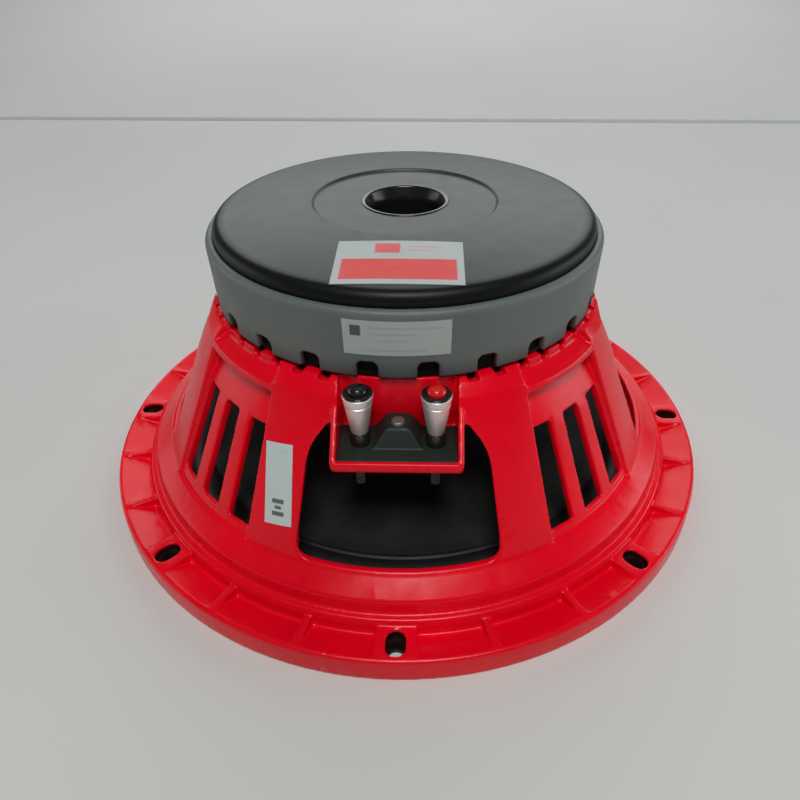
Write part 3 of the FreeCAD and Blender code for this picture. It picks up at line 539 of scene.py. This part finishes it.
def turned(name, outline, segments=128, at=(0.0, 0.0)):
    """A mesh turned about an upright axis from a closed outline of (radius, z) in metres."""
    mesh = bpy.data.meshes.new(name)
    bm = bmesh.new()
    layer = bm.loops.layers.uv.new("turned")
    rings = []
    for k in range(segments):
        a = 2 * math.pi * k / segments
        across = (math.cos(a), math.sin(a))
        places = [(at[0] + r * across[0], at[1] + r * across[1], z) for r, z in outline]
        rings.append([bm.verts.new(place) for place in places])
    count = len(outline)
    for k in range(segments):
        here = rings[k]
        there = rings[(k + 1) % segments]
        for n in range(count):
            m = (n + 1) % count
            face = bm.faces.new((here[n], there[n], there[m], here[m]))
            corners = ((k, n), (k + 1, n), (k + 1, n + 1), (k, n + 1))
            for loop, (u, v) in zip(face.loops, corners):
                loop[layer].uv = (u / segments, v / count)
    bmesh.ops.remove_doubles(bm, verts=bm.verts, dist=1e-7)
    bmesh.ops.dissolve_degenerate(bm, dist=1e-8, edges=bm.edges)
    bmesh.ops.recalc_face_normals(bm, faces=bm.faces)
    bm.to_mesh(mesh)
    bm.free()
    return mesh


def ribbon(middle, thickness):
    """The closed outline of an even sheet about a line of (radius, z) points in millimetres."""
    points = [Vector(p) for p in middle]
    one_side = []
    other_side = []
    for k, point in enumerate(points):
        along = points[min(k + 1, len(points) - 1)] - points[max(k - 1, 0)]
        off = Vector((-along.y, along.x)).normalized() * thickness / 2
        one_side.append((point + off) * MM)
        other_side.append((point - off) * MM)
    return one_side + other_side[::-1]


def evaluated(obj):
    """The object's mesh with its modifiers applied."""
    graph = bpy.context.evaluated_depsgraph_get()
    return bpy.data.meshes.new_from_object(obj.evaluated_get(graph))


def softened(nodes, voxel, rounds, faces=None, seams=()):
    """CAD nodes as one mesh with edges eased all over; seams are the heights where they meet."""
    bm = bmesh.new()
    for node in nodes:
        bm.from_mesh(frame["nodes"][node].data)
    inner = [f for f in bm.faces if any(all(abs(v.co.z - z) < 2e-5 for v in f.verts) for z in seams)]
    bmesh.ops.delete(bm, geom=inner, context="FACES")
    bmesh.ops.remove_doubles(bm, verts=bm.verts, dist=2e-6)
    mesh = bpy.data.meshes.new("softening")
    bm.to_mesh(mesh)
    bm.free()
    obj = bpy.data.objects.new("softening", mesh)
    bpy.context.scene.collection.objects.link(obj)
    remesh = obj.modifiers.new("remesh", "REMESH")
    remesh.mode = "VOXEL"
    remesh.voxel_size = voxel
    smooth = obj.modifiers.new("smooth", "SMOOTH")
    smooth.factor = 0.5
    smooth.iterations = rounds
    made = evaluated(obj)
    if faces and len(made.polygons) * 2 > faces:
        obj.modifiers.clear()
        obj.data = made
        fewer = obj.modifiers.new("fewer", "DECIMATE")
        fewer.ratio = faces / (len(made.polygons) * 2)
        made = evaluated(obj)
    bpy.data.objects.remove(obj)
    return made


def add(name, mesh, body, material, stands_for=(), crease=35):
    """A finished piece: smooth but for edges sharper than crease degrees, riding on its body."""
    mesh.name = name
    mesh.materials.clear()
    mesh.materials.append(material)
    mesh.shade_smooth()
    if crease:
        mesh.set_sharp_from_angle(angle=math.radians(crease))
    piece = bpy.data.objects.new(name, mesh)
    bpy.context.scene.collection.objects.link(piece)
    if body:
        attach(piece, body)
    if stands_for:
        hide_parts(*stands_for)
    return piece


def drilled(mesh, radius, centre):
    """The mesh with a round hole through it along X."""
    cutter = bpy.data.meshes.new("drill")
    bm = bmesh.new()
    turn = Matrix.Translation(centre) @ Matrix.Rotation(math.radians(90), 4, "Y")
    bmesh.ops.create_cone(
        bm, cap_ends=True, segments=48, radius1=radius, radius2=radius, depth=0.02, matrix=turn)
    bm.to_mesh(cutter)
    bm.free()
    scene = bpy.context.scene.collection.objects
    work = bpy.data.objects.new("work", mesh)
    drill = bpy.data.objects.new("drill", cutter)
    scene.link(work)
    scene.link(drill)
    cut = work.modifiers.new("cut", "BOOLEAN")
    cut.operation = "DIFFERENCE"
    cut.object = drill
    made = evaluated(work)
    bpy.data.objects.remove(work)
    bpy.data.objects.remove(drill)
    return made


def sheet_mesh(name, place, columns, rows, thickness):
    """A thin closed sheet; place(u, v, lift) gives its points, with u and v from 0 to 1."""
    mesh = bpy.data.meshes.new(name)
    bm = bmesh.new()
    layer = bm.loops.layers.uv.new("sheet")
    sides = []
    for lift in (0, thickness):
        grid = []
        for m in range(rows + 1):
            grid.append([bm.verts.new(place(n / columns, m / rows, lift)) for n in range(columns + 1)])
        sides.append(grid)
    for level, grid in enumerate(sides):
        for m in range(rows):
            for n in range(columns):
                corners = [(n, m), (n + 1, m), (n + 1, m + 1), (n, m + 1)]
                if level == 0:
                    corners.reverse()
                face = bm.faces.new([grid[j][i] for i, j in corners])
                for loop, (i, j) in zip(face.loops, corners):
                    loop[layer].uv = (i / columns, j / rows)
    edge = [(n, 0) for n in range(columns)] + [(columns, m) for m in range(rows)]
    edge += [(columns - n, rows) for n in range(columns)] + [(0, rows - m) for m in range(rows)]
    for k, (i, j) in enumerate(edge):
        p, q = edge[(k + 1) % len(edge)]
        bm.faces.new((sides[0][j][i], sides[0][q][p], sides[1][q][p], sides[1][j][i]))
    bm.to_mesh(mesh)
    bm.free()
    return mesh


def line_mesh(name, points, radius, smooth=True):
    """A round wire along points in metres, as a mesh."""
    curve = bpy.data.curves.new(name, "CURVE")
    curve.dimensions = "3D"
    curve.bevel_depth = radius
    curve.bevel_resolution = 5
    curve.use_fill_caps = True
    curve.resolution_u = 10
    spline = curve.splines.new("NURBS" if smooth else "POLY")
    spline.points.add(len(points) - 1)
    for made, point in zip(spline.points, points):
        made.co = (*point, 1)
    if smooth:
        spline.order_u = 3
        spline.use_endpoint_u = True
    obj = bpy.data.objects.new(name, curve)
    bpy.context.scene.collection.objects.link(obj)
    made = evaluated(obj)
    bpy.data.objects.remove(obj)
    return made


# --- basket and gasket -------------------------------------------------------------------

CASTING = ["basket_flange", "basket_arms", "basket_seat"]
SEAMS = (0.030, 0.079)     # heights where the casting's CAD nodes meet
SCREW_R = 149.0            # screw circle and the size of its holes, in millimetres
SCREW_COUNT = 8
HOLE_HALF_LENGTH = 6.2
HOLE_HALF_WIDTH = 4.5
HOLE_TOP = 10.9


def in_screw_hole(point):
    """Whether a point of the casting is on the wall of a screw hole or its slot."""
    r = math.hypot(point.x, point.y) / MM
    pitch = 2 * math.pi / SCREW_COUNT
    turn = (math.atan2(point.y, point.x) - FRONT + pitch / 2) % pitch - pitch / 2
    along = abs(r - SCREW_R) < HOLE_HALF_LENGTH
    across = abs(turn) * SCREW_R < HOLE_HALF_WIDTH
    return along and across and point.z < HOLE_TOP * MM


def basket(red, shade):
    """The casting in one piece, with painted shade down its screw holes."""
    mesh = softened(CASTING, 0.0006, 3, 230000, seams=SEAMS)
    piece = add("basket_casting", mesh, "root", red, CASTING, 0)
    # Painted shade: faces on the walls of the screw holes take the near-black second material.
    piece.data.materials.append(shade)
    for face in piece.data.polygons:
        if in_screw_hole(face.center):
            face.material_index = 1


# --- motor -------------------------------------------------------------------------------

REAR_EDGE_Z = 136.0        # where the rear plate's coned face would meet its side
REAR_TOP_Z = 139.9
DISH_R = 44.0


def rear_face_z(r):
    """Height of the rear plate's coned face at radius r, in millimetres."""
    plate_r = PLATE[1].x / MM
    return REAR_TOP_Z - (r - DISH_R) * (REAR_TOP_Z - REAR_EDGE_Z) / (plate_r - DISH_R)


def rear_plate():
    """Vented pole and back plate in one, with a rolled edge and a shallow dish."""
    plate_r = PLATE[1].x / MM
    pole_z = PLATE[0].z / MM
    outline = rounded([
        (16.5, pole_z, 1.0), (37.2, pole_z, 0.6), (37.2, 128, 1.0), (plate_r, 128, 0.6),
        (plate_r, REAR_EDGE_Z, 4.6), (DISH_R, REAR_TOP_Z, 0.8), (DISH_R - 1.2, 138.6, 0.8),
        (20.8, 138.6), (20.8, 137.0), (18.6, 132.6), (18.6, 122), (16.5, 122),
    ], 8)
    add("back_plate_and_pole", turned("plate", outline, 256), "root", grey_enamel_edge_shade(), ["yoke"])


def vent_mouth():
    """Flared plastic mouth pressed into the pole's vent."""
    outline = rounded([
        (16.5, 122), (18.6, 122), (18.6, 132.6), (20.8, 137.0), (20.8, 139.1, 0.7),
        (18.9, 139.1, 1.2), (16.5, 133.5, 9.0),
    ], 10)
    mesh = turned("vent", outline, 160)
    add("vent_mouth", mesh, "root", polished_black(), ["vent_flare"])


def motor_boot():
    """Notched rubber boot round the magnets."""
    mesh = softened(["magnet_boot"], 0.0006, 2, 90000)
    add("rubber_boot", mesh, "root", boot_rubber(), ["magnet_boot"], 0)


# --- moving system -----------------------------------------------------------------------

RIM_R = 105.0
RIM_Z = 17.4               # middle of the paper's thickness at the cone's rim
NECK_R = 39.2
CONE_RISE = 0.604
CAP_R = 50.0
CAP_HEIGHT = 15.0
EYELET_R = 52.5            # radius at which the leads' eyelets stand on the cone


def cone_z(r):
    """Height of the middle of the cone's paper at radius r, in millimetres."""
    return RIM_Z + 0.14 + (RIM_R - r) * CONE_RISE


def paper_cone():
    """Pressed paper with three shallow stiffening ribs."""
    middle = [(NECK_R, 60.9), (NECK_R, 60.0), (NECK_R, 58.8), (NECK_R + 0.3, 58.0)]
    steps = 150
    for k in range(steps + 1):
        r = 40.6 + (103.5 - 40.6) * k / steps
        rib = sum(math.exp(-((r - middle_r) / 1.1) ** 2) for middle_r in (66, 78, 90))
        middle.append((r, cone_z(r) + 0.5 * rib))
    middle += [(104.6, 17.75), (105.6, 17.42), (107, RIM_Z), (110, RIM_Z)]
    mesh = turned("cone", ribbon(middle, 1.55), 192)
    add("paper_cone", mesh, "diaphragm", pressed_paper("cone_paper", 0.010), ["cone"])


def domed_cap():
    """Dome over the coil, with a narrow glued hem on the cone's front."""
    span = CAP_R ** 2 / (2 * CAP_HEIGHT) + CAP_HEIGHT / 2
    hem_z = cone_z(CAP_R) - 1.6
    middle = []
    for k in range(41):
        r = 49.0 * k / 40
        middle.append((r, hem_z - CAP_HEIGHT + span - math.sqrt(span ** 2 - r ** 2)))
    middle.append((49.9, hem_z - 0.1))
    mesh = turned("cap", ribbon(middle, 1.1), 128)
    add("domed_cap", mesh, "diaphragm", pressed_paper("cap_paper", 0.03), ["dust_cap"])


def stretch_between(piece, inner, outer):
    """The piece rides on the cone inside radius inner, on the basket beyond outer, in millimetres."""
    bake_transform(piece, "root", "diaphragm", start=(outer * MM, 0, 0), end=(inner * MM, 0, 0))
    shares = piece.data.attributes["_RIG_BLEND"].data
    for vertex in piece.data.vertices:
        r = math.hypot(vertex.co.x, vertex.co.y) / MM
        t = min(max((outer - r) / (outer - inner), 0), 1)
        shares[vertex.index].value = t * t * (3 - 2 * t)


def rubber_edge():
    """Half roll between the cone's rim and the basket's ledge."""
    middle = [(105.3, 15.93), (107.5, 15.93), (109.4, 15.9)]
    steps = 40
    for k in range(steps + 1):
        a = math.pi * k / steps
        middle.append((117 - 6.9 * math.cos(a), 15.2 - 7.4 * math.sin(a)))
    middle += [(124.8, 15.35), (128, 15.35), (133.1, 15.35)]
    mesh = turned("edge", ribbon(middle, 1.25), 192)
    rubber = soft_rubber("edge_rubber", 0.011, 0.55)
    piece = add("rubber_edge", mesh, None, rubber, ["surround"])
    stretch_between(piece, 109.5, 124.5)


def cloth_spider():
    """Corrugated cloth between the coil's former and the basket's housing ring."""
    middle = [(38.8, 71.4), (38.8, 70.4), (39.3, 69.4), (40.2, 68.9)]
    steps = 150
    for k in range(steps + 1):
        share = k / steps
        swell = math.sin(math.pi * min(share * 6, 1) / 2)
        wave = 1.7 * swell * math.sin(2 * math.pi * 5 * share)
        middle.append((41.2 + 38.3 * share, 68.9 - wave))
    middle += [(80.4, 69.8), (81.3, 71.2), (82.3, 71.55), (85, 71.55), (88.4, 71.55)]
    mesh = turned("spider", ribbon(middle, 0.75), 192)
    piece = add("cloth_spider", mesh, None, spider_cloth(), ["spider"])
    stretch_between(piece, 41.0, 81.5)


def flexible_lead(side, hand):
    """Braided lead from its lug, under the tray, to its eyelet on the cone."""
    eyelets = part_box("lead_eyelets")
    tip_x = side * (eyelets[1].x - 2.6 * MM)
    route = [
        (side * 15.2, -105.9, 60.6), (side * 15.7, -97.5, 60.2), (side * 15.1, -85.5, 57.6),
        (side * 14.1, -71.5, 56.9), (side * 13.1, -59.5, 57.4),
    ]
    points = [Vector(p) * MM for p in route]
    radius = EYELET_R * MM
    seat = Vector((tip_x, -math.sqrt(radius ** 2 - tip_x ** 2), (cone_z(EYELET_R) + 0.95) * MM))
    axis = Vector((seat.x / radius * CONE_RISE, seat.y / radius * CONE_RISE, 1)).normalized()
    points += [seat + axis * 5.5 * MM, seat + axis * 0.65 * MM]
    mesh = line_mesh("lead", points, 0.9 * MM)
    name = "flexible_lead_" + hand
    piece = add(name, mesh, None, braided_copper(), ["tinsel_lead_" + hand])
    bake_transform(piece, "root", "diaphragm", start=points[0] + Vector((0, 0.003, 0)), end=points[-1])


# --- terminals ---------------------------------------------------------------------------

def post_centre(hand):
    """Where the post of this hand stands, in metres."""
    low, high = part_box("post_" + hand)
    return ((low.x + high.x) / 2, (low.y + high.y) / 2)


def terminal_post(hand, nickel):
    """Tapered post with two turned grooves near its mouth and a wire hole across it."""
    centre = post_centre(hand)
    outline = rounded([
        (0, 64), (2.0, 64, 0.4), (2.0, 80.6), (3.5, 80.6, 0.5), (5.55, 94.6), (5.3, 94.8),
        (5.3, 95.0), (5.62, 95.2), (6.2, 98.8, 0.4), (5.3, 98.8), (5.3, 97.2), (3.75, 97.2),
        (3.75, 94.9), (2.55, 94.9), (2.55, 82.0), (0, 82.0),
    ], 6)
    mesh = turned("post", outline, 96, centre)
    mesh = drilled(mesh, 1.5 * MM, Vector((*centre, 90 * MM)))
    add("terminal_post_" + hand, mesh, "root", nickel, ["post_" + hand], 30)


def post_ring(hand, black):
    """Plastic ring in the post's mouth and over its rim, round the button."""
    outline = rounded([
        (3.75, 97.2), (5.3, 97.2), (5.3, 98.8), (5.95, 98.8), (5.95, 99.6, 0.6), (3.75, 99.6, 0.3),
    ], 8)
    mesh = turned("ring", outline, 96, post_centre(hand))
    add("post_ring_" + hand, mesh, "root", black, ["collar_" + hand], 40)


def button_cap(hand, colour, plastic):
    """Domed cap with a shallow step round its top."""
    outline = rounded([
        (0, 98.0), (3.7, 98.0, 0.2), (3.7, 100.6, 0.5), (3.35, 101.1, 0.3), (2.6, 101.9, 0.8),
        (1.4, 102.15, 0.6), (0, 102.2),
    ], 6)
    mesh = turned("cap", outline, 96, post_centre(hand))
    name = "button_cap_" + colour
    add(name, mesh, "button_" + colour, plastic, ["push_button_" + colour], 50)


def return_spring(hand):
    """Coil spring under the plunger, wound over the height of its CAD node."""
    low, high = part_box("button_spring_" + hand)
    x, y = post_centre(hand)
    wire_r = 0.3 * MM
    coil_r = 2.05 * MM
    turns = 3.5
    steps = 84
    points = []
    for k in range(steps + 1):
        a = 2 * math.pi * turns * k / steps
        z = low.z + wire_r + (high.z - low.z - 2 * wire_r) * k / steps
        points.append((x + coil_r * math.cos(a), y + coil_r * math.sin(a), z))
    mesh = line_mesh("spring", points, wire_r, smooth=False)
    name = "return_spring_" + hand
    spring = add(name, mesh, "root", zinc_steel(), ["button_spring_" + hand])
    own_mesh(spring)


def insulating_board():
    """Black board that carries the posts, with its raised tongue."""
    mesh = softened(["terminal_board"], 0.00035, 2, 60000)
    add("insulating_board", mesh, "root", moulded_plastic(), ["terminal_board"], 0)


# --- labels ------------------------------------------------------------------------------

LABEL_T = 0.25 * MM
REAR_CORNER = (-25.5, -82.8)     # the rear label's nearest left corner and its size, in millimetres
REAR_SIZE = (51, 33)
ARM_SIZE = (13.2, 32.6)          # the arm label's width and height, in millimetres
ARM_MIDDLE_Z = 54.3
ARM_TILT = math.radians(8.5)
ARM_FACING = math.radians(-115.6)


def rear_sheet():
    """Stuck on the rear plate's coned face, between the vent and the terminals."""
    def place(u, v, lift):
        x = REAR_CORNER[0] + REAR_SIZE[0] * u
        y = REAR_CORNER[1] + REAR_SIZE[1] * v
        r = math.hypot(x, y)
        return (x * MM, y * MM, rear_face_z(r) * MM + lift)
    mesh = sheet_mesh("rear", place, 24, 16, LABEL_T)
    add("rear_sheet", mesh, "root", rear_print(), ["rear_label"])


def boot_sheet():
    """Stuck round the boot above the terminals."""
    low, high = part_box("boot_label")
    half = math.asin(high.x / (BOOT[1].x - 0.8 * MM))

    def place(u, v, lift):
        z = low.z + (high.z - low.z) * v
        share = (z - BOOT[0].z) / (BOOT[1].z - BOOT[0].z)
        r = BOOT[1].x + (share - 1) * 1.2 * MM + lift
        a = FRONT + half * (2 * u - 1)
        return (r * math.cos(a), r * math.sin(a), z)
    mesh = sheet_mesh("boot", place, 32, 8, LABEL_T)
    add("boot_sheet", mesh, "root", boot_print(), ["boot_label"])


def arm_face_r(z):
    """Radius of the arms' coned outer face at height z, in millimetres."""
    return 128.6 - 0.436 * (z - 25)


def arm_sheet():
    """Stuck down the arm left of the terminals, a little askew."""
    def place(u, v, lift):
        across = ARM_SIZE[0] * (u - 0.5)
        up = ARM_SIZE[1] * (v - 0.5)
        z = ARM_MIDDLE_Z + across * math.sin(ARM_TILT) + up * math.cos(ARM_TILT)
        r = arm_face_r(z)
        a = ARM_FACING + (across * math.cos(ARM_TILT) - up * math.sin(ARM_TILT)) / r
        return (r * MM * math.cos(a) + lift * math.cos(a), r * MM * math.sin(a) + lift * math.sin(a), z * MM)
    mesh = sheet_mesh("arm", place, 12, 20, LABEL_T)
    add("arm_sheet", mesh, "root", arm_print(), ["arm_label"])


# --- the whole driver --------------------------------------------------------------------

def dress_nodes(nickel, black):
    """Materials for the CAD nodes that stay in view."""
    blackened = black_steel()
    finishes = {
        "front_gasket": soft_rubber("gasket_foam", 0.02, 0.8), "top_plate": blackened,
        "motor_bolts": blackened, "shorting_ring": bare_aluminium(), "board_rivet": dull_rivet(),
        "terminal_nuts": nickel, "coil_former": amber_film(), "voice_coil": copper_winding(),
        "lead_eyelets": tinned_brass(), "post_insulators": black,
    }
    ferrite = sintered_ferrite()
    brass = tinned_brass()
    for node in ("magnet_front", "magnet_rear"):
        finishes[node] = ferrite
    for hand in ("left", "right"):
        finishes["plunger_" + hand] = nickel
        finishes["solder_lug_" + hand] = brass
    for node, material in finishes.items():
        mesh = frame["nodes"][node].data
        mesh.materials.clear()
        mesh.materials.append(material)


bpy.context.scene.view_settings.view_transform = "Standard"
make_camera()
make_table(pale_board())
make_lights()
nickel = plated_metal("nickel", (0.88, 0.91, 0.88), 0.36)
black = gloss_plastic("black_plastic", (0.012, 0.012, 0.012))
red = gloss_plastic("red_plastic", (0.72, 0.008, 0.010))
dress_nodes(nickel, black)
basket(red_powder_coat(), hole_shade())
rear_plate()
vent_mouth()
motor_boot()
paper_cone()
domed_cap()
rubber_edge()
cloth_spider()
insulating_board()
for hand, colour, side, plastic in (("left", "black", -1, black), ("right", "red", 1, red)):
    terminal_post(hand, nickel)
    post_ring(hand, black)
    button_cap(hand, colour, plastic)
    return_spring(hand)
    flexible_lead(side, hand)
rear_sheet()
boot_sheet()
arm_sheet()
